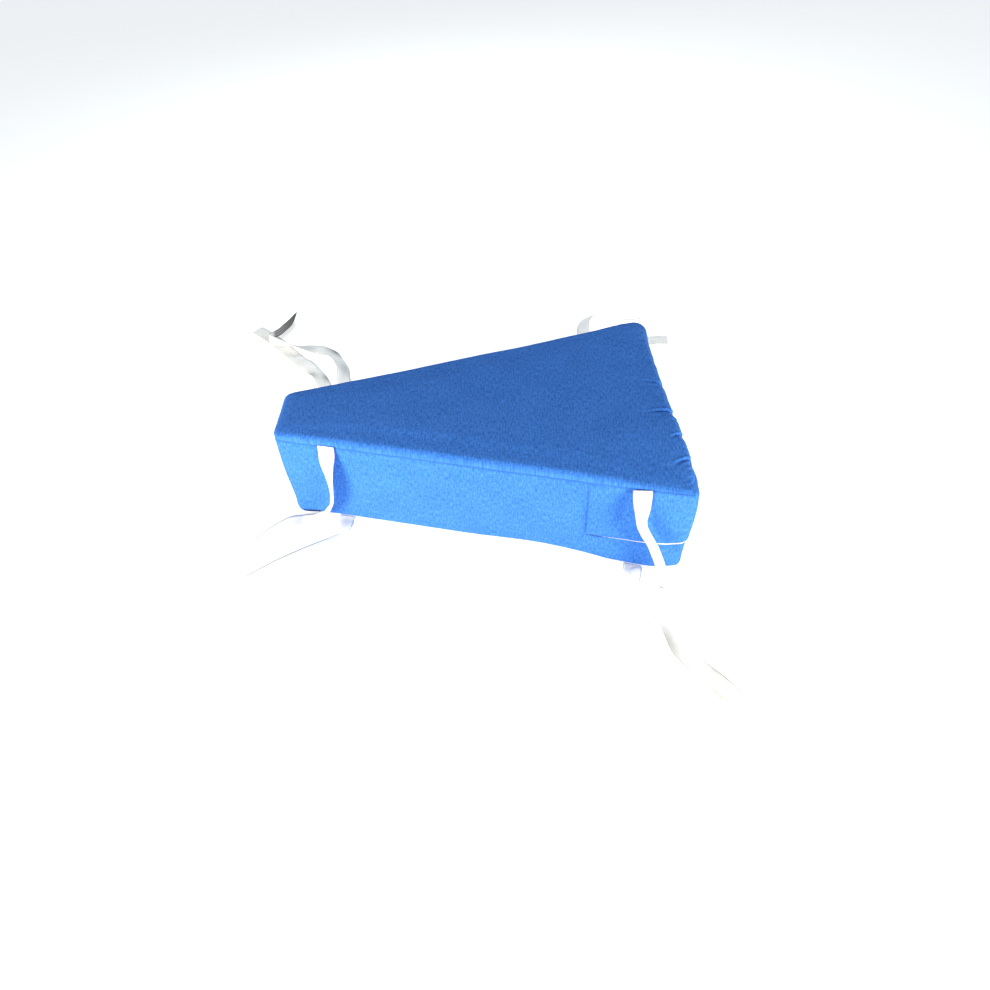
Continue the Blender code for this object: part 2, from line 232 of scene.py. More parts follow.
make_floor()
for name, box in SOFTBOXES.items():
    make_softbox(name, **box)
world = bpy.data.worlds.new("white_room")
world.use_nodes = True
world.node_tree.nodes["Background"].inputs["Color"].default_value = linear(COOL)
world.node_tree.nodes["Background"].inputs["Strength"].default_value = ROOM_LIGHT
bpy.context.scene.world = world
bpy.context.scene.view_settings.view_transform = "Standard"
print("softboxes:", len(SOFTBOXES))

# %% [markdown]
# ## The cover cloth
# The cover is plain-woven cotton, dyed blue. Its crosswise threads are slubby: they vary in thickness,
# so short pale and dark streaks run across the wedge and down its sides. The real threads are about
# half a millimetre apart, too fine to show from here, so the slubs are drawn at 1.6 mm. Cotton scatters
# light softly, which takes a high roughness and a little sheen from its fuzz.

# %% Woven cotton
THREAD_DRAWN = 1.6 * MM
SLUB_LENGTH = 6 * MM
MOTTLE_SIZE = 45 * MM
WEAVE_BUMP = 0.14 * MM

# How much the lengthwise threads and the mottle count, the noise values that give the deepest and the
# palest dye, and how much of its colour a place keeps under the darkest painted shade
LENGTHWISE_SHARE = 0.3
MOTTLE_SHARE = 0.12
DYE_SPREAD = (0.33, 0.67)
DARKEST_PAINTED_SHADE = 0.12


def streaks(tree, weave, across, along, detail):
    """Noise drawn out along one thread direction of the cloth's own map."""
    stretched = add_node(
        tree, "ShaderNodeMapping", {"Vector": weave, "Scale": (1 / across, 1 / along, 1)},
    )
    return add_node(
        tree, "ShaderNodeTexNoise", {"Vector": stretched.outputs["Vector"], "Scale": 1, "Detail": detail},
    ).outputs["Fac"]


def woven_cotton(name, deep, pale):
    made, tree, shader = start_material(name)
    weave = add_node(tree, "ShaderNodeUVMap", {}, uv_map="weave").outputs["UV"]
    crosswise = streaks(tree, weave, THREAD_DRAWN, SLUB_LENGTH, 2)
    lengthwise = streaks(tree, weave, SLUB_LENGTH, THREAD_DRAWN, 1)
    mottle = streaks(tree, weave, MOTTLE_SIZE, MOTTLE_SIZE, 2)
    threads = add_node(
        tree, "ShaderNodeMix", {"Factor": LENGTHWISE_SHARE, "A": crosswise, "B": lengthwise},
    )
    cloth = add_node(
        tree, "ShaderNodeMix", {"Factor": MOTTLE_SHARE, "A": threads.outputs["Result"], "B": mottle},
    )
    spread = add_node(
        tree, "ShaderNodeMapRange",
        {"Value": cloth.outputs["Result"], "From Min": DYE_SPREAD[0], "From Max": DYE_SPREAD[1],
         "To Min": 0, "To Max": 1},
    )
    dyed = add_node(
        tree, "ShaderNodeMix",
        {"Factor": spread.outputs["Result"], "A": linear(deep), "B": linear(pale)}, data_type="RGBA",
    )
    # Painted shade in the seams, in the slit under the flap and under the near foot darkens the dye
    seam = add_node(tree, "ShaderNodeAttribute", {}, attribute_name="seam").outputs["Fac"]
    shade = add_node(
        tree, "ShaderNodeMapRange",
        {"Value": seam, "From Min": 0, "From Max": 1, "To Min": 1, "To Max": DARKEST_PAINTED_SHADE},
    )
    sunk = add_node(
        tree, "ShaderNodeVectorMath", {0: dyed.outputs["Result"], "Scale": shade.outputs["Result"]},
        operation="SCALE",
    )
    relief = add_node(
        tree, "ShaderNodeBump",
        {"Height": threads.outputs["Result"], "Strength": 0.5, "Distance": WEAVE_BUMP},
    )
    tree.links.new(sunk.outputs["Vector"], shader.inputs["Base Color"])
    tree.links.new(relief.outputs["Normal"], shader.inputs["Normal"])
    shader.inputs["Roughness"].default_value = 0.9
    shader.inputs["Specular IOR Level"].default_value = 0.12
    shader.inputs["Sheen Weight"].default_value = 0.04
    shader.inputs["Sheen Roughness"].default_value = 0.5
    return made


cover_cotton = woven_cotton("woven_cotton_blue", "#265EAE", "#4888E4")
print("materials:", len(bpy.data.materials))

# %% [markdown]
# ## The filled cover
# A filled cover could be modelled as a plain block with bevels, but real cloth pulls in at its seams and
# rises between them. So the solid is copied, remeshed evenly, drawn in a little and blown up gently with
# cloth pressure. Cut foam is firm and fills every corner, so only the outward part of the swelling is
# kept, and a cap of about a millimetre decides how far the cloth stands out. A last pass lifts any place
# that is left below the foam's own surface.

# %% Copy and fill the wedge
VOXEL = 4.5 * MM
DRAWN_IN = 0.6 * MM
PRESSURE = 4.0
STIFFNESS = 40.0
FILL_FRAMES = 20
MOST_SWELL = 1.3 * MM
BASE_FADE = 14 * MM
SAME_POINT = 0.01 * MM


def copy_solid(node, name):
    bm = bmesh.new()
    bm.from_mesh(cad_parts[node].data)
    bmesh.ops.remove_doubles(bm, verts=bm.verts, dist=SAME_POINT)
    return add_piece(name, mesh_from(bm, name))


def remesh(piece):
    even = piece.modifiers.new("even_mesh", "REMESH")
    even.mode = "VOXEL"
    even.voxel_size = VOXEL
    bake_modifiers(piece)


def off_the_floor(height):
    """0 where the base rests flat, 1 higher up."""
    return smooth(height / BASE_FADE)


def draw_in(piece):
    for vert in piece.data.vertices:
        vert.co -= vert.normal * DRAWN_IN * off_the_floor(vert.co.z)


def blow_up(piece):
    start = [vert.co.copy() for vert in piece.data.vertices]
    cloth = piece.modifiers.new("filling", "CLOTH")
    cloth.settings.use_pressure = True
    cloth.settings.uniform_pressure_force = PRESSURE
    cloth.settings.tension_stiffness = STIFFNESS
    cloth.settings.compression_stiffness = STIFFNESS
    cloth.settings.effector_weights.gravity = 0
    cloth.collision_settings.use_collision = False
    scene = bpy.context.scene
    for step in range(1, FILL_FRAMES + 1):
        scene.frame_set(step)
    filled = piece.evaluated_get(bpy.context.evaluated_depsgraph_get()).data
    moves = [after.co - before for after, before in zip(filled.vertices, start)]
    piece.modifiers.clear()
    normals = [vert.normal.copy() for vert in piece.data.vertices]
    for vert, place, normal, move in zip(piece.data.vertices, start, normals, moves):
        outwards = clamp(move.dot(normal), 0, MOST_SWELL)
        vert.co = place + normal * outwards * off_the_floor(place.z)
    scene.frame_set(1)
    print("free swell in mm: most", round(max(move.length for move in moves) / MM, 2))


def fill_corners(piece, foam):
    """Lift each place that lies below the foam's surface back onto it."""
    tree = BVHTree.FromObject(foam, bpy.context.evaluated_depsgraph_get())
    lifted = 0
    for vert in piece.data.vertices:
        place, normal, _, _ = tree.find_nearest(vert.co)
        if (vert.co - place).dot(normal) < 0:
            vert.co = place
            lifted += 1
    print("places lifted onto the foam:", lifted)


cover = copy_solid("pillow", "pillow_cover")
remesh(cover)
draw_in(cover)
blow_up(cover)
finer = cover.modifiers.new("finer", "SUBSURF")
finer.levels = finer.render_levels = 1
bake_modifiers(cover)
fill_corners(cover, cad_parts["pillow"])
print("cover faces:", len(cover.data.polygons))

# %% [markdown]
# Cut foam is never quite true. On the real wedge the near top edge is tighter than the solid's soft
# rounding, the wide end's near corner bulges out and slumps, and two other corners stand out a little.
# These could go into the solid, but they are a few millimetres and matter only to the look. So each is
# a soft push on the filled cover that fades with distance and leaves no line.

# %% Shape the foam
SOFT_EDGE = 8 * MM
CUT_EDGE = 4.5 * MM
EDGE_SLIDE = 22 * MM
SMOOTH_PASSES = 4
SLUMP = 6.5 * MM
SLUMP_START = 345 * MM
SLUMP_INWARD = 90 * MM
SLUMP_FOOT = 80 * MM
SLUMP_TALL = 32 * MM

# Place, push and half sizes in mm: wide end's near corner, its far corner, narrow end's near foot
FORMS = (
    ((228, -150, 98), (4.2, -0.5, 0), (60, 45, 48)),
    ((190, 144, 118), (0.3, 3.2, 0), (26, 30, 40)),
    ((-219, -40, 4), (-1.2, -3.2, 0), (16, 20, 15)),
)


def sharpen_near_edge(piece):
    """Bring the near top edge from the solid's soft rounding to a cut foam edge's tighter one.

    A place on the rounding keeps its direction from the middle of its arc and gets a smaller radius.
    Places on the flat faces beside it slide along them, less and less with distance."""
    _, out, corner = side_frame("near")
    up = Vector((0, 0, 1))
    for vert in piece.data.vertices:
        inside = min(0.0, (vert.co - corner).dot(out))
        below = min(0.0, vert.co.z - HEIGHT)
        weight = 1 - smooth((math.hypot(inside, below) - SOFT_EDGE) / EDGE_SLIDE)
        turn = Vector((clamp(1 + inside / SOFT_EDGE, 0, 1), clamp(1 + below / SOFT_EDGE, 0, 1)))
        if weight > 0 and turn.length > 0:
            size = min(1.0, turn.length)
            turn = turn.normalized() * size
            slide = out * (size - turn.x) + up * (size - turn.y)
            vert.co += slide * (SOFT_EDGE - CUT_EDGE) * weight


def even_out(piece):
    """Smooth away the faint line where lifted cloth meets swollen cloth."""
    bm = bmesh.new()
    bm.from_mesh(piece.data)
    above = [vert for vert in bm.verts if vert.co.z > BASE_FADE]
    for _ in range(SMOOTH_PASSES):
        bmesh.ops.smooth_vert(
            bm, verts=above, factor=0.5, use_axis_x=True, use_axis_y=True, use_axis_z=True,
        )
    bm.to_mesh(piece.data)
    bm.free()


def push_forms(piece):
    """Push each form a few millimetres round one place."""
    for vert in piece.data.vertices:
        moves = Vector()
        for place, push, half in FORMS:
            weight = math.prod(bump_shape(v / MM - p, h) for v, p, h in zip(vert.co, place, half))
            moves += Vector(push) * MM * weight
        vert.co += moves


def slump_corner(piece):
    """The top slopes down to the near corner of the wide end, where the foam has given a little."""
    along, out, corner = side_frame("near")
    for vert in piece.data.vertices:
        run = (vert.co - corner).dot(along)
        inward = (corner - vert.co).dot(out)
        beside = 1 - smooth(inward / SLUMP_INWARD)
        weight = smooth((run - SLUMP_START) / (SIDE_LENGTH - SLUMP_START)) * beside
        vert.co.z -= SLUMP * weight * smooth((vert.co.z - SLUMP_FOOT) / SLUMP_TALL)


even_out(cover)
sharpen_near_edge(cover)
push_forms(cover)
slump_corner(cover)
print("cover height in mm:", round(max(vert.co.z for vert in cover.data.vertices) / MM, 1))

# %% [markdown]
# The seams come after the remesh, which would have erased them. Flat cuts run round the wedge where the
# top and bottom panels meet the side strip, and up each long side where the closure starts. Each seam
# gets three, its middle and its two edges, which keeps it a crisp line. Finer faces at the wide end
# give its gathers enough points.

# %% Cut the seam lines
TOP_SEAM = 120.5 * MM
BOTTOM_SEAM = 3.5 * MM
SEAM_HALF = 1.3 * MM
CLOSURE_SEAM = 357 * MM
CLOSURE_SEAM_FOOT = 26 * MM
FLAP_START = 361 * MM
FLAP_START_X = FLAP_START * LENGTH / SIDE_LENGTH - LENGTH / 2
SLIT_HEIGHT = 42.5 * MM
SLIT_RISE = 6 * MM
GATHER_ZONE = 46 * MM
GATHER_FOOT = TOP_SEAM - 4 * SEAM_HALF
CUT_MERGE = 0.02 * MM

# A face looks a given way where its normal has more than this share in that direction
FACING = 0.7


def slit_height(x):
    return SLIT_HEIGHT + SLIT_RISE * clamp((x - FLAP_START_X) / (LENGTH / 2 - FLAP_START_X), 0, 1)


def cut(bm, faces, point, normal):
    parts = set(faces)
    parts.update(edge for face in faces for edge in face.edges)
    parts.update(vert for face in faces for vert in face.verts)
    bmesh.ops.bisect_plane(bm, geom=list(parts), dist=CUT_MERGE, plane_co=point, plane_no=normal)


def refine_gathers(bm):
    near_end = [
        edge for edge in bm.edges
        if min(vert.co.x for vert in edge.verts) > LENGTH / 2 - GATHER_ZONE
        and min(vert.co.z for vert in edge.verts) > GATHER_FOOT
    ]
    bmesh.ops.subdivide_edges(bm, edges=near_end, cuts=1, use_grid_fill=True)
    bmesh.ops.triangulate(bm, faces=[face for face in bm.faces if len(face.verts) > 4])


bm = bmesh.new()
bm.from_mesh(cover.data)
refine_gathers(bm)
for height in (TOP_SEAM, BOTTOM_SEAM):
    for step in (-SEAM_HALF, 0, SEAM_HALF):
        level = height + step
        crossed = [
            face for face in bm.faces
            if min(vert.co.z for vert in face.verts) < level < max(vert.co.z for vert in face.verts)
        ]
        cut(bm, crossed, (0, 0, level), (0, 0, 1))
for side in ("near", "far"):
    along, out, corner = side_frame(side)
    for step in (-SEAM_HALF, 0, SEAM_HALF):
        place = corner + along * (CLOSURE_SEAM + step)
        bm.normal_update()
        upright = [
            face for face in bm.faces
            if face.normal.dot(out) > FACING
            and abs((face.calc_center_median() - place).dot(along)) < VOXEL
        ]
        cut(bm, upright, place, along)
bm.to_mesh(cover.data)
bm.free()
print("cover faces with seams:", len(cover.data.polygons))

# %% [markdown]
# At the wide end the top panel is gathered into the seam. Each gather is a steep roll of cloth with a
# sharp valley beside it, and it leans, widens and fades towards the middle of the top. A simulation
# would put the gathers where it likes. A table with a row for each puts them where the real ones are.

# %% The gathers
# Columns: y at the seam, y at its inner end, reach, depth and half width, all in mm
GATHERS = (
    (132, 134, 12, 0.7, 1.3), (101, 103, 16, 0.8, 1.3), (70, 73, 14, 0.7, 1.2), (26, 32, 32, 1.7, 1.4),
    (3, 5, 12, 0.6, 1.2), (-23, -29, 42, 2.1, 1.4), (-38, -43, 14, 1.0, 1.3), (-62, -74, 24, 1.7, 1.4),
    (-81, -89, 11, 0.7, 1.2), (-98, -113, 28, 1.9, 1.4), (-112, -120, 13, 1.1, 1.3),
    (-123, -131, 12, 1.0, 1.2), (-132, -140, 12, 1.2, 1.3), (-141, -149, 11, 1.2, 1.3),
)

# Valley, steep roll and low roll: depth, place across and half width, as shares of the gather's own
PROFILE = ((1, -0.9, 1), (-0.85, 0.9, 0.8), (-0.3, -3, 0.9))

# A gather is held flat by the seam's thread, to this share of its depth, and is free further in
GATHER_HELD = 0.45
HELD_REACH = 9 * MM
GATHER_RISE = 3 * MM
GATHER_WIDENS = 0.8

# The wide end's straight stretch, clear of its rounded corners
END_FROM, END_TO = -135 * MM, 140 * MM


def gather_profile(across):
    """How deep the cloth lies at a place across a gather: a roll is less than 0."""
    return sum(share * bump_shape(across - at, half) for share, at, half in PROFILE)


def end_line(tree):
    """Where the wide end's top seam is, read from the cover itself: x for any y."""
    def x_at(y):
        start = Vector((LENGTH, clamp(y, END_FROM, END_TO), TOP_SEAM))
        return tree.ray_cast(start, Vector((-1, 0, 0)))[0].x
    return x_at


def gather_depth(place, edge_x):
    depth = 0.0
    if place.x < LENGTH / 2 - GATHER_ZONE or place.z < TOP_SEAM:
        return depth
    from_edge = max(0.0, edge_x(place.y) - place.x)
    rise = smooth((place.z - TOP_SEAM) / GATHER_RISE)
    held = GATHER_HELD + (1 - GATHER_HELD) * smooth(from_edge / HELD_REACH)
    for y_seam, y_inner, reach, deep, half in GATHERS:
        inward = from_edge / (reach * MM)
        if inward < 1:
            middle = (y_seam + (y_inner - y_seam) * inward) * MM
            width = half * MM * (1 + GATHER_WIDENS * inward)
            profile = gather_profile((place.y - middle) / width)
            depth += deep * MM * profile * smooth(1 - inward) * rise * held
    return depth


print("gathers:", len(GATHERS), "longest in mm:", max(row[2] for row in GATHERS))

# %% [markdown]
# The cloth sinks into its seams and puffs up beside them. It ripples a little where the thread pulls it,
# it is never quite even over foam, and it has a soft hollow beside one tie. Deep seams, the slit under
# the flap and the tuck under the near foot also get painted shade, darker than the rest. Each of these
# is a small function of a place on the cover, so each can be tuned by itself.

# %% Seams, hollow and shades
SEAM_DEEP = 0.8 * MM
SEAM_GROOVE = 0.75 * SEAM_HALF
UPRIGHT_SHARE = 0.22
UPRIGHT_GROOVE = 0.6 * SEAM_HALF
SEAM_PUFF = 0.2 * MM
PUFF_AWAY = 5 * MM
# Painted shade: its share in a fully sunk seam, and its height, fade length and least share in the slit
SEAM_SHADE = 0.3
SLIT_SHADE_TALL = 3.2 * MM
SLIT_SHADE_LONG = 16 * MM
SLIT_SHADE_LEAST = 0.25

# Soft hollow beside the near wide tie: along the near side, height, half length, half height, depth in mm
HOLLOW = (401, 84, 8, 26, 2.2)

# Painted shade under the near foot: its middle along X, its half length and its height in mm
FOOT_SHADE = (-212, 12, 8.5)
FOOT_FADE_ALONG = 4 * MM
FOOT_FADE_UP = 2 * MM


def seam_at(place):
    """How far a place is sunk into a seam, from 0 to 1, and its distance from the nearest long seam."""
    lines = [abs(place.z - TOP_SEAM), abs(place.z - BOTTOM_SEAM)]
    sunk = max(bump_shape(line, SEAM_GROOVE) for line in lines)
    along, _, corner = side_frame("near" if place.y < 0 else "far")
    upright = abs((place - corner).dot(along) - CLOSURE_SEAM)
    if CLOSURE_SEAM_FOOT < place.z < TOP_SEAM:
        sunk = max(sunk, UPRIGHT_SHARE * bump_shape(upright, UPRIGHT_GROOVE))
    return sunk, min(lines)


def hollow_depth(place):
    along, _, corner = side_frame("near")
    where, height, half_long, half_tall, deep = (size * MM for size in HOLLOW)
    if place.y > 0:
        return 0.0
    beside = bump_shape((place - corner).dot(along) - where, half_long)
    return deep * beside * bump_shape(place.z - height, half_tall)


def slit_shade(place):
    """Painted shade in the slit below the flap's free edge, deepest where the slit starts."""
    below = slit_height(place.x) - place.z
    if place.x < FLAP_START_X or not 0 < below < SLIT_SHADE_TALL:
        return 0.0
    extra = math.exp(-(place.x - FLAP_START_X) / SLIT_SHADE_LONG)
    return SLIT_SHADE_LEAST + (1 - SLIT_SHADE_LEAST) * extra


def foot_shade(place):
    """Painted shade where the cover tucks under at the narrow end's near foot."""
    middle, half, tall = (size * MM for size in FOOT_SHADE)
    if place.y > 0:
        return 0.0
    beside = smooth((half - abs(place.x - middle)) / FOOT_FADE_ALONG + 0.5)
    return beside * (1 - smooth((place.z - tall) / FOOT_FADE_UP + 0.5))


print("seam groove in mm:", round(SEAM_DEEP / MM, 1), "hollow in mm:", HOLLOW[-1])

# %% [markdown]
# Now each point of the cover moves along its own normal by all of these together. Its painted shade is
# kept in an attribute that the cotton's material reads. The weave gets a map of its own, in metres: its
# threads run along and across the wedge on top, and along and up it on the side strip.

# %% Press the cover and map its weave
RIPPLE = 0.4 * MM
RIPPLE_LONG = 11 * MM
RIPPLE_REACH = 9 * MM

# Unevenness over the foam: how wide it is and how high
UNEVEN = ((70 * MM, 0.35 * MM), (26 * MM, 0.15 * MM))


def press_cover(mesh):
    edge_x = end_line(surface_tree(mesh))
    painted_shade = mesh.attributes.new("seam", "FLOAT", "POINT")
    moves = []
    for index, vert in enumerate(mesh.vertices):
        on_side = smooth(2 * (1 - abs(vert.normal.z)))
        sunk, away = seam_at(vert.co)
        sunk *= on_side
        puff = SEAM_PUFF * bump_shape(away - PUFF_AWAY, PUFF_AWAY / 2)
        ripple = RIPPLE * noise.noise(vert.co / RIPPLE_LONG) * math.exp(-away / RIPPLE_REACH)
        uneven = sum(high * noise.noise(vert.co / wide) for wide, high in UNEVEN)
        hollow = hollow_depth(vert.co) * on_side
        depth = SEAM_DEEP * sunk - puff - ripple - uneven + hollow + gather_depth(vert.co, edge_x)
        moves.append(vert.normal * depth * off_the_floor(vert.co.z))
        # Painted shade of the seams, the slit and the foot, kept in the 'seam' attribute
        painted_shade.data[index].value = max(SEAM_SHADE * sunk, slit_shade(vert.co), foot_shade(vert.co))
    for vert, move in zip(mesh.vertices, moves):
        vert.co -= move


def weave_map(mesh):
    """The cloth's own map in metres: crosswise threads run along v. The top panel is mapped from above,
    and the side strip by the way round and its height."""
    layer = mesh.uv_layers.new(name="weave")
    for face in mesh.polygons:
        flat = face.center.z > TOP_SEAM or face.center.z < BOTTOM_SEAM
        ends = abs(face.normal.x) > FACING
        for loop in face.loop_indices:
            x, y, z = mesh.vertices[mesh.loops[loop].vertex_index].co
            layer.data[loop].uv = (x, y) if flat else ((y, z) if ends else (x * SIDE_LENGTH / LENGTH, z))


press_cover(cover.data)
weave_map(cover.data)
cover.data.shade_smooth()
cover.data.materials.clear()
cover.data.materials.append(cover_cotton)
belongs(cover, "pillow")
print("cover triangles:", sum(len(face.vertices) - 2 for face in cover.data.polygons))

# %% [markdown]
# ## The closure flap
# The flap is a cloth panel that covers the opening. It is sewn into the top seam and the upright seams,
# and its lower edge hangs free over the closure tape. Cutting it out of a copy of the cover makes it
# fit every ripple below it. Each point is then lifted off the cover, most at the free edge, and the
# sheet gets its thickness.

# %% Cut out the flap
CLOTH_THICK = 0.7 * MM
FLAP_LIFT_SEWN = -0.55 * MM
FLAP_LIFT_BODY = 0.15 * MM
FLAP_LIFT_FREE = 0.85 * MM
SEWN_ZONE = 7 * MM
HEM_TALL = 5 * MM
HEM_PROUD = 0.15 * MM

# The free edge's lift fades away from this share of the flap's height, over this share of it
FREE_BELOW = 0.25
FREE_FADE = 0.5


def level_plane(at_start, at_end):
    """A plane through two heights: at the start of the flap and at the wide end."""
    run = LENGTH / 2 - FLAP_START_X
    return Vector((FLAP_START_X, 0, at_start)), Vector((at_start - at_end, 0, run)).normalized()


def strip_of_cover(bottom, top):
    """The cover's skin round the wide end, between two pairs of heights."""
    bm = bmesh.new()
    bm.from_mesh(cover.data)
    low, low_normal = level_plane(*bottom)
    high, high_normal = level_plane(*top)
    start = Vector((FLAP_START_X, 0, 0))
    for point, normal in ((start, Vector((1, 0, 0))), (low, low_normal), (high, -high_normal)):
        parts = bm.verts[:] + bm.edges[:] + bm.faces[:]
        bmesh.ops.bisect_plane(
            bm, geom=parts, dist=CUT_MERGE, plane_co=point, plane_no=normal, clear_inner=True,
        )
    bm.normal_update()
    return bm


def lift_strip(bm, lift):
    moves = [vert.normal * lift(vert.co) for vert in bm.verts]
    for vert, move in zip(bm.verts, moves):
        vert.co += move


def flap_lift(place):
    up = place.z - slit_height(place.x)
    free = 1 - smooth((up / (TOP_SEAM - SLIT_HEIGHT) - FREE_BELOW) / FREE_FADE)
    sewn = 1 - smooth((TOP_SEAM - place.z) / SEWN_ZONE)
    hem = HEM_PROUD * (1 - smooth(up / HEM_TALL - 0.5))
    body = FLAP_LIFT_BODY + (FLAP_LIFT_SEWN - FLAP_LIFT_BODY) * sewn
    return body + (FLAP_LIFT_FREE - FLAP_LIFT_BODY) * free + hem


def thicken(piece, thickness, offset):
    shell = piece.modifiers.new("thickness", "SOLIDIFY")
    shell.thickness = thickness
    shell.offset = offset
    shell.use_even_offset = False


bm = strip_of_cover((SLIT_HEIGHT, SLIT_HEIGHT + SLIT_RISE), (TOP_SEAM, TOP_SEAM))
lift_strip(bm, flap_lift)
flap = add_piece("closure_flap_cloth", mesh_from(bm, "closure_flap_cloth"))
flap.data.materials.append(cover_cotton)
thicken(flap, CLOTH_THICK, 1)
belongs(flap, "closure_flap")

# %% [markdown]
# ## The tape cloth
# The closure tape and the ties are bleached cotton twill tape: fine slanting ribs that meet in the
# middle, with firm selvedges. The real ribs are about half a millimetre apart, too fine to show, and are
# drawn at 1.2 mm. The tape glows a little, which is painted light: it stays bright even in shade, so its
# furrows are pale grey. Its selvedges, its creases and one loose end are drawn darker as painted shade.

# %% Bleached twill tape
# Strength of the tape's painted glow, painted light that keeps it white in shade
TAPE_PAINTED_GLOW = 0.27
RIB_DRAWN = 1.2 * MM
RIB_BUMP = 0.2 * MM
FUZZ_ACROSS = 0.8 * MM
FUZZ_LONG = 6 * MM
# Darker colour at the selvedges: painted shade along the tape's edges
EDGE_PAINTED_SHADE = "#C9C9C4"
# Colour of the painted shade in creases and at one loose end
PAINTED_SHADE_GREY = "#32322E"

# Where the selvedge's painted shade starts and is full, from the tape's middle line, and the ribs' lowest
# and highest
SELVEDGE_AT = (8.3 * MM, 9.2 * MM)
RIB_SPREAD = (-0.6, 1.4)


def twill_tape(name, white, furrow):
    made, tree, shader = start_material(name)
    weave = add_node(tree, "ShaderNodeUVMap", {}, uv_map="weave").outputs["UV"]
    split = add_node(tree, "ShaderNodeSeparateXYZ", {"Vector": weave})
    fold = add_node(tree, "ShaderNodeMath", {0: split.outputs["X"]}, operation="ABSOLUTE")
    slant = add_node(tree, "ShaderNodeMath", {0: split.outputs["Y"], 1: fold.outputs[0]}, operation="ADD")
    turns = add_node(
        tree, "ShaderNodeMath", {0: slant.outputs[0], 1: 2 * math.pi / RIB_DRAWN}, operation="MULTIPLY",
    )
    ribs = add_node(tree, "ShaderNodeMath", {0: turns.outputs[0]}, operation="SINE")
    selvedge = add_node(
        tree, "ShaderNodeMapRange",
        {"Value": fold.outputs[0], "From Min": SELVEDGE_AT[0], "From Max": SELVEDGE_AT[1],
         "To Min": 0, "To Max": 1},
        interpolation_type="SMOOTHSTEP",
    )
    fuzz = streaks(tree, weave, FUZZ_ACROSS, FUZZ_LONG, 2)
    height = add_node(tree, "ShaderNodeMath", {0: ribs.outputs[0], 1: fuzz}, operation="ADD")
    mixed = add_node(
        tree, "ShaderNodeMapRange",
        {"Value": height.outputs[0], "From Min": RIB_SPREAD[0], "From Max": RIB_SPREAD[1],
         "To Min": 0, "To Max": 1},
    )
    cloth = add_node(
        tree, "ShaderNodeMix",
        {"Factor": mixed.outputs["Result"], "A": linear(furrow), "B": linear(white)}, data_type="RGBA",
    )
    # The selvedges get the darker colour, painted shade along the tape's edges
    edged = add_node(
        tree, "ShaderNodeMix",
        {"Factor": selvedge.outputs["Result"], "A": cloth.outputs["Result"], "B": linear(EDGE_PAINTED_SHADE)},
        data_type="RGBA",
    )
    # Painted shade in creases and at one loose end, read from the tape's attribute
    tape_painted_shade = add_node(tree, "ShaderNodeAttribute", {}, attribute_name="tape_painted_shade").outputs["Fac"]
    painted_dark = add_node(
        tree, "ShaderNodeMix",
        {"Factor": tape_painted_shade, "A": edged.outputs["Result"], "B": linear(PAINTED_SHADE_GREY)}, data_type="RGBA",
    )
    relief = add_node(
        tree, "ShaderNodeBump", {"Height": height.outputs[0], "Strength": 0.35, "Distance": RIB_BUMP},
    )
    # The painted shade darkens both the tape's colour and its painted glow
    tree.links.new(painted_dark.outputs["Result"], shader.inputs["Base Color"])
    tree.links.new(painted_dark.outputs["Result"], shader.inputs["Emission Color"])
    tree.links.new(relief.outputs["Normal"], shader.inputs["Normal"])
    shader.inputs["Roughness"].default_value = 0.85
    shader.inputs["Specular IOR Level"].default_value = 0.3
    shader.inputs["Sheen Weight"].default_value = 0.1
    # The tape's painted glow
    shader.inputs["Emission Strength"].default_value = TAPE_PAINTED_GLOW
    return made


white_tape = twill_tape("bleached_cotton_twill_tape", "#F0F0ED", "#DEDEDA")
print("tape cloth:", white_tape.name)

# %% [markdown]
# ## The closure tape
# Under the flap lies a white woven tape. Only its lower edge shows in the slit. The flap stands proud of
# it, so from above it hides the first millimetre below its edge. The tape starts just hidden and drops
# further below the flap towards the wide end, where its white line is widest. Like the flap, it is cut
# from the cover's own skin, so it lies on every ripple.

# %% Lay the closure tape
TAPE_TALL = 16 * MM
TAPE_THICK = 0.6 * MM
TAPE_LIFT = 0.12 * MM

# How far the tape's lower edge is below the flap's, at the start of the flap and at the wide end
TAPE_DROP = (0.7 * MM, 3.4 * MM)

tape_low = (SLIT_HEIGHT - TAPE_DROP[0], SLIT_HEIGHT + SLIT_RISE - TAPE_DROP[1])
bm = strip_of_cover(tape_low, tuple(height + TAPE_TALL for height in tape_low))
lift_strip(bm, lambda place: TAPE_LIFT)
closure_tape = add_piece("closure_tape_woven", mesh_from(bm, "closure_tape_woven"))
closure_tape.data.materials.clear()
closure_tape.data.materials.append(white_tape)
thicken(closure_tape, TAPE_THICK, 1)
belongs(closure_tape, "closure_tape")

# %% [markdown]
# ## The ties
# Each tie is a 20 mm cotton tape whose end is sewn into a seam. It hangs or runs out of the seam, falls,
# twists and lies on the floor. A simulation would lose the twists that the tapes have here, so each is
# laid along the route that its solid follows. A row gives a place along the side, a place out
# from it, the height of the lowest point and a twist.

# %% Routes of the ties
TIE_WIDTH = 20 * MM
TIE_THICK = 0.7 * MM
SOLID_THICK = 1.2 * MM
ROOT_FROM_NARROW = 63 * MM
ROOT_FROM_WIDE = 54 * MM

# Heights of the sewn ends in mm, as in the rows below
UPPER_ROOT_HEIGHT = 122.5
LOWER_ROOT_HEIGHT = 0.1

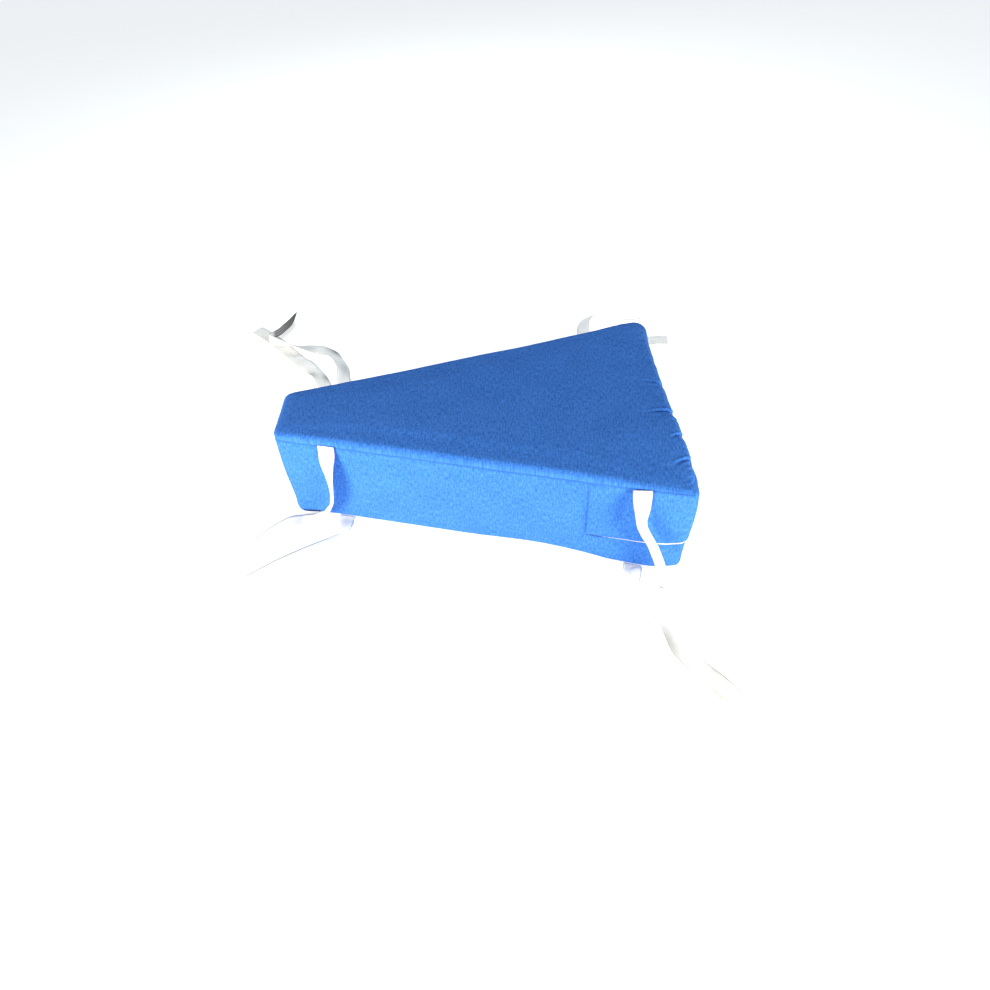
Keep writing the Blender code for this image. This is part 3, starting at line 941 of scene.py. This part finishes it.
# Columns: along the side, out from it, height of the lowest point in mm, twist in degrees. Two tapes
# differ from their solids: the first turns sooner from its seam, and the fifth ends 10 mm before it.
TIE_ROUTES = {
    "tie_near_wide_upper": (
        (1, 7, 112, -18), (2, 10, 104, -33), (3, 14, 96, -47), (4, 17, 88, -60), (7, 19, 80, -70),
        (12, 20, 70, -75), (18, 21, 58, -73), (24, 22, 45, -71), (29, 23, 32, -70), (33, 25, 19, -67),
        (37, 29, 7, -59), (41, 35, 1, -47), (46, 44, 1, -46), (50.5, 56, 1, -52), (54, 67, 1, -57),
        (57.5, 80, 1.6, -61), (61, 93, 2.3, -61), (65, 104, 2.4, -56), (70, 113, 2.3, -40),
        (77, 121, 2, -16), (89, 130, 1.9, 0), (103, 139, 1.9, 0), (118, 152, 1.9, 0),
    ),
    "tie_near_wide_lower": (
        (0, 9, 0.2, 0), (2, 15, 0.2, 22), (4.7, 23, 0.2, 46), (6.2, 34, 0.2, 60), (7.2, 46, 0.2, 75),
        (9.3, 57, 0.2, 95), (13.5, 63, 0.2, 112), (19.5, 67, 0.2, 120), (28, 73, 0.2, 121),
        (37, 80, 0.2, 124), (45, 89, 0.2, 138), (52, 97, 0.2, 156), (59, 104, 0.1, 174),
        (66, 110, 0.1, 180), (75, 118, 0.1, 180), (86, 127, 0.1, 180), (98, 136, 0.1, 180),
        (110, 146, 0.1, 180),
    ),
    "tie_near_narrow_upper": (
        (0, 4.5, 112, 2), (-0.5, 8.5, 102, 14), (-0.5, 12, 90, 30), (-0.5, 14, 77, 43),
        (-1.5, 15, 62, 51), (-3, 16, 51, 55), (-6, 16, 42, 58), (-9.5, 16, 34, 62), (-15, 16, 26, 64),
        (-24, 16, 15, 54), (-37, 15.5, 5, 27), (-51, 16.5, 0.6, 6), (-65, 21, 0.2, 0),
        (-75, 31, 0.2, 0), (-83, 44, 0.2, 0), (-90, 59, 0.2, 0), (-97, 77, 0.2, 0),
    ),
    "tie_near_narrow_lower": (
        (0, 4, 0.2, 0), (2.5, 10, 0.3, 3), (5, 15, 0.3, 12), (7, 20, 0.4, 22), (8.5, 25, 0.4, 31),
        (8, 30, 0.4, 34), (4, 36, 0.4, 28), (-3, 43, 0.3, 14), (-13, 52, 0.2, 4), (-26, 63, 0.2, 0),
        (-40, 76, 0.2, 0), (-53, 89, 0.2, 0), (-65, 103, 0.2, 0), (-77, 118, 0.2, 0),
    ),
    "tie_far_narrow_upper": (
        (1, 6, 108, 0), (2, 11, 84, 4), (3, 15, 58, 6), (4, 20, 32, 4), (5, 30, 12, 0), (6, 47, 3, 0),
        (7, 70, 2.2, 0), (7, 98, 2.2, 0), (5, 130, 1.4, 0), (1, 160, 0.4, 0), (-2, 182, 0.4, 7),
        (0, 203, 0.6, 27), (-5, 228, 0.8, 31), (-14, 252, 0.6, 11), (-29, 268, 1.0, 0),
        (-46, 276, 2, 10), (-62, 281, 2.4, 30),
        (-78, 288, 2.4, 55), (-93, 297, 2.4, 76), (-104, 307, 2.4, 94), (-107, 314, 2.4, 108),
        (-101, 320, 2.4, 117), (-91, 328, 1.8, 118), (-82, 340, 0.4, 113), (-70, 356, 0.3, 112),
        (-63, 370, 0.3, 119),
    ),
    "tie_far_narrow_lower": (
        (0, 4, 0.2, 0), (0, 20, 0.2, 0), (-3, 44, 0.2, 0), (-10, 80, 0.2, 0), (-20, 122, 0.2, 0),
        (-30, 166, 0.2, 0), (-38, 200, 0.4, 12), (-51, 228, 0.4, -10), (-64, 251, 0.2, 0),
        (-78, 279, 0.2, 0), (-91, 305, 0.2, 0), (-105, 329, 0.2, 0), (-118, 349, 0.2, 0),
        (-129, 364, 0.2, 0),
    ),
    "tie_far_wide_upper": (
        (1, 16, 106, 0), (3, 23, 82, -6), (6, 27, 56, -10), (10, 30, 32, -8), (17, 37, 12, -4),
        (27, 48, 3, 0), (38, 61, 1.9, 0), (50, 78, 0.6, 0), (65, 99, 0.2, 0), (84, 118, 0.2, 0),
        (104, 129, 0.2, 0), (126, 130, 0.2, 0), (149, 123, 0.2, 0),
    ),
    "tie_far_wide_lower": (
        (1, 22, 0.2, 0), (3, 44, 0.2, 0), (6, 80, 0.2, 0), (13, 120, 0.2, 0), (23, 158, 0.2, 0),
        (30, 182, 0.2, -10), (36, 199, 0.4, -24), (46, 211, 0.6, -33), (58, 216, 0.6, -33),
        (72, 213, 0.6, -33), (86, 204, 0.6, -36), (99, 192, 0.6, -34), (114, 186, 0.6, -31),
        (129, 185, 0.6, -33), (141, 178, 0.6, -40), (152, 164, 0.6, -43), (161, 152, 0.4, -43),
    ),
}
print("ties:", len(TIE_ROUTES))

# %% [markdown]
# A smooth curve through the rows gives the tape's middle line, read every 2.5 mm. At each step the tape
# also needs to know which way its width points. It starts flat on the side where it hangs, or flat on
# the floor where it lies, and then turns by its twist. Last, the line is raised until the tape's lowest
# edge is at the given height.

# %% Follow a route
TAPE_STEP = 2.5 * MM

# The cover slumps under this tie, so its sewn end lies further in and lower, in mm
SEWN_SHIFT = {"tie_near_wide_upper": (0.9, 1.8)}


def smooth_route(points):
    """A curve through the points, read about every step."""
    ends = [points[0] * 2 - points[1]] + points + [points[-1] * 2 - points[-2]]
    route = []
    for a, b, c, d in zip(ends, ends[1:], ends[2:], ends[3:]):
        steps = max(1, round((c - b).to_3d().length / TAPE_STEP))
        for step in range(steps):
            t = step / steps
            slope = (c - a) * t
            bend = (a * 2 - b * 5 + c * 4 - d) * t ** 2
            turn = (b * 3 - a - c * 3 + d) * t ** 3
            route.append((b * 2 + slope + bend + turn) / 2)
    return route + [points[-1]]


def tape_widths(directions, twists, along, out):
    """Flat on the side where the tape hangs, flat on the floor where it lies, then twisted."""
    widths = []
    for direction, twist in zip(directions, twists):
        face = Vector((0, 0, direction.xy.length)) - out * direction.z
        flat = direction.cross(face).normalized()
        if out.cross(along).z > 0:
            flat.negate()
        turn = math.radians(twist)
        widths.append(flat * math.cos(turn) + direction.cross(flat) * math.sin(turn))
    return widths


def solid_root(node, level, out):
    """Middle of a tie solid's sewn end: its highest points, or for a lower tie its innermost ones."""
    corners = {tuple(round(part, 5) for part in vert.co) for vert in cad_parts[node].data.vertices}
    key = (lambda p: -p[2]) if level == "upper" else (lambda p: Vector(p).dot(out))
    return sum((Vector(p) for p in sorted(corners, key=key)[:4]), Vector()) / 4


def tie_line(node, rows):
    """Centres, width directions and faces of a tie at each step of its route."""
    _, side, end, level = node.split("_")
    along, out, corner = side_frame(side)
    base = corner + along * (ROOT_FROM_NARROW if end == "narrow" else SIDE_LENGTH - ROOT_FROM_WIDE)
    root_height = UPPER_ROOT_HEIGHT if level == "upper" else LOWER_ROOT_HEIGHT
    root_out = (solid_root(node, level, out) - base).dot(out)
    further_in, lower = SEWN_SHIFT.get(node, (0, 0))
    table = [(0, root_out / MM - further_in, root_height - lower, 0)] + list(rows)
    route = smooth_route([Vector((a * MM, b * MM, c * MM, d)) for a, b, c, d in table])
    places = [base + along * p[0] + out * p[1] + Vector((0, 0, p[2])) for p in route]
    behind, ahead = places[:1] + places[:-1], places[1:] + places[-1:]
    directions = [(b - a).normalized() for a, b in zip(behind, ahead)]
    widths = tape_widths(directions, [p[3] for p in route], along, out)
    faces = [direction.cross(width) for direction, width in zip(directions, widths)]
    for place, width, face in zip(places, widths, faces):
        place.z += TIE_WIDTH / 2 * abs(width.z) + SOLID_THICK / 2 * abs(face.z)
    return places, widths, faces


print("tape step in mm:", round(TAPE_STEP / MM, 1))

# %% [markdown]
# Washed tape curls a little across and its edges ruffle. Where it creases, and at one loose end, it gets
# painted shade. The strip is a flat grid whose points are moved onto the line. The curl and the ruffle
# start a little way from the seam, because the sewn end is held flat. The painted shade is kept in an
# attribute that the tape's material reads.

# %% Lay the ties
TAPE_COLUMNS = 6
CURL = 0.35 * MM

# The curl sinks the tape's middle and lifts its edges, from where the place across squared is this
CURL_LEVEL = 0.4
RUFFLE = 0.45 * MM
RUFFLE_LONG = 17 * MM
LOOSE_FROM_SEAM = 25 * MM
OFF_FLOOR = 0.1 * MM

# How much of a tape's loose end gets painted shade, how softly that starts and how much it fades
PAINTED_SHADE_ENDS = {"tape_far_narrow_upper": 66 * MM}
PAINTED_SHADE_START = 8 * MM
PAINTED_SHADE_FADE = 0.3

# Painted shade in creases: distance from the sewn end in mm, place across from -1 to 1, half length in mm,
# darkness
CREASE_PAINTED_SHADES = {
    "tape_far_narrow_upper": ((342, 1, 15, 0.8), (292, 0.4, 17, 0.3), (405, 0, 26, 0.28)),
    "tape_far_narrow_lower": ((197, 1, 11, 0.6), (215, -1, 12, 0.45), (352, -1, 30, 0.22)),
    "tape_near_wide_lower": ((24, -1, 16, 0.2), (69, 0, 14, 0.25), (116, 1, 16, 0.22)),
    "tape_near_wide_upper": ((119, 1, 12, 0.3), (250, 1, 16, 0.22)),
    "tape_near_narrow_lower": ((12, 0, 12, 0.25),),
}
CREASE_HALF_ACROSS = 0.7


def end_painted_shade(name, left):
    """How much painted shade a tape has at a distance from its loose end."""
    reach = PAINTED_SHADE_ENDS.get(name, 0)
    return smooth((reach - left) / PAINTED_SHADE_START) * (1 - PAINTED_SHADE_FADE * left / reach) if reach else 0.0


def crease_painted_shade(name, run, column):
    """How much painted shade a tape has in its creases."""
    shades = [
        grey * bump_shape(run / MM - at, half) * bump_shape(column - across, CREASE_HALF_ACROSS)
        for at, across, half, grey in CREASE_PAINTED_SHADES.get(name, ())
    ]
    return max(shades, default=0.0)


def lay_tape(name, places, widths, faces):
    """A strip of tape on its line, curled a little across and ruffled at its edges."""
    bm = bmesh.new()
    layer = bm.loops.layers.uv.new("weave")
    grey = bm.verts.layers.float.new("tape_painted_shade")
    count = len(places)
    verts = bmesh.ops.create_grid(bm, x_segments=count - 1, y_segments=TAPE_COLUMNS, size=1)["verts"]
    where = {}
    for vert in verts:
        step = round((vert.co.x + 1) / 2 * (count - 1))
        column = round((vert.co.y + 1) / 2 * TAPE_COLUMNS) / TAPE_COLUMNS * 2 - 1
        where[vert] = (column * TIE_WIDTH / 2, step * TAPE_STEP)
        place, width, face = places[step], widths[step], faces[step]
        run = step * TAPE_STEP / RUFFLE_LONG
        uneven = 1 + noise.noise(Vector((run / 2, 0, len(name))))
        curl = CURL * (column * column - CURL_LEVEL) * uneven
        ruffle = RUFFLE * abs(column) ** 3 * noise.noise(Vector((run, column * 3, count)))
        loose = smooth(step * TAPE_STEP / LOOSE_FROM_SEAM)
        vert.co = place + width * column * TIE_WIDTH / 2 + face * (curl + ruffle) * loose
        vert.co.z = max(vert.co.z, TIE_THICK / 2 + OFF_FLOOR)
        left = (count - 1 - step) * TAPE_STEP
        # Painted shade at the loose end and in the creases
        vert[grey] = max(end_painted_shade(name, left), crease_painted_shade(name, step * TAPE_STEP, column))
    for face in bm.faces:
        for loop in face.loops:
            loop[layer].uv = where[loop.vert]
    return add_piece(name, mesh_from(bm, name))


for node, rows in TIE_ROUTES.items():
    places, widths, faces = tie_line(node, rows)
    tie = lay_tape(node.replace("tie_", "tape_"), places, widths, faces)
    tie.data.materials.append(white_tape)
    thicken(tie, TIE_THICK, 0)
    belongs(tie, node)

# %% [markdown]
# ## Stitches
# The seams are sewn with blue thread. A stitch is a short bead of thread that lies on the cloth, so each
# is one drawn-out ball, small and plain because there are hundreds. They follow the top seam round the
# wedge, and the upright seam at each start of the flap, which runs on below the slit as a bar.

# %% Sew the seams
STITCH_LONG = 2.6 * MM
STITCH_STEP = 3.6 * MM
THREAD_THICK = 0.7 * MM
SEAM_CATCH = 0.6 * MM
RAY_FROM = 50 * MM


def along_points(points, step):
    """Places and directions at even steps along a line of points."""
    found, travelled = [], 0.0
    for a, b in zip(points, points[1:]):
        span = (b - a).length
        while travelled < span:
            found.append((a.lerp(b, travelled / span), (b - a).normalized()))
            travelled += step
        travelled -= span
    return found


def top_seam_points(mesh):
    """The points on the top seam in order round the wedge, one for each hundredth of a radian."""
    ring = [v.co.copy() for v in mesh.vertices if abs(v.co.z - TOP_SEAM) < SEAM_CATCH]
    tidy = {}
    for point in ring:
        tidy.setdefault(round(math.atan2(point.y, point.x), 2), point)
    ordered = [tidy[key] for key in sorted(tidy)]
    return ordered + ordered[:1]


def upright_seam_points(side, tree):
    along, out, corner = side_frame(side)
    points = []
    height = CLOSURE_SEAM_FOOT
    while height < TOP_SEAM - STITCH_STEP:
        start = corner + along * CLOSURE_SEAM + out * RAY_FROM + Vector((0, 0, height))
        points.append(tree.ray_cast(start, -out)[0])
        height += STITCH_STEP / 2
    return points


def one_stitch():
    bm = bmesh.new()
    bmesh.ops.create_uvsphere(bm, u_segments=8, v_segments=5, radius=0.5)
    bmesh.ops.scale(bm, verts=bm.verts, vec=(THREAD_THICK, THREAD_THICK, STITCH_LONG))
    return mesh_from(bm, "one_stitch")


def sew(bm, points):
    """Add a turned copy of the stitch at each step along the points."""
    stitch = one_stitch()
    for place, direction in along_points(points, STITCH_STEP):
        turned = stitch.copy()
        turn = direction.to_track_quat("Z", "Y").to_matrix().to_4x4()
        turned.transform(Matrix.Translation(place) @ turn)
        bm.from_mesh(turned)
        bpy.data.meshes.remove(turned)
    bpy.data.meshes.remove(stitch)


cover_tree = surface_tree(cover.data)
bm = bmesh.new()
sew(bm, top_seam_points(cover.data))
for side in ("near", "far"):
    sew(bm, upright_seam_points(side, cover_tree))
stitches = add_piece("seam_stitches", mesh_from(bm, "seam_stitches"))
thread, _, thread_shader = start_material("spun_polyester_thread_blue")
thread_shader.inputs["Base Color"].default_value = linear("#2C66B6")
thread_shader.inputs["Roughness"].default_value = 0.6
stitches.data.materials.append(thread)
belongs(stitches, None)
print("stitch faces:", len(stitches.data.polygons))
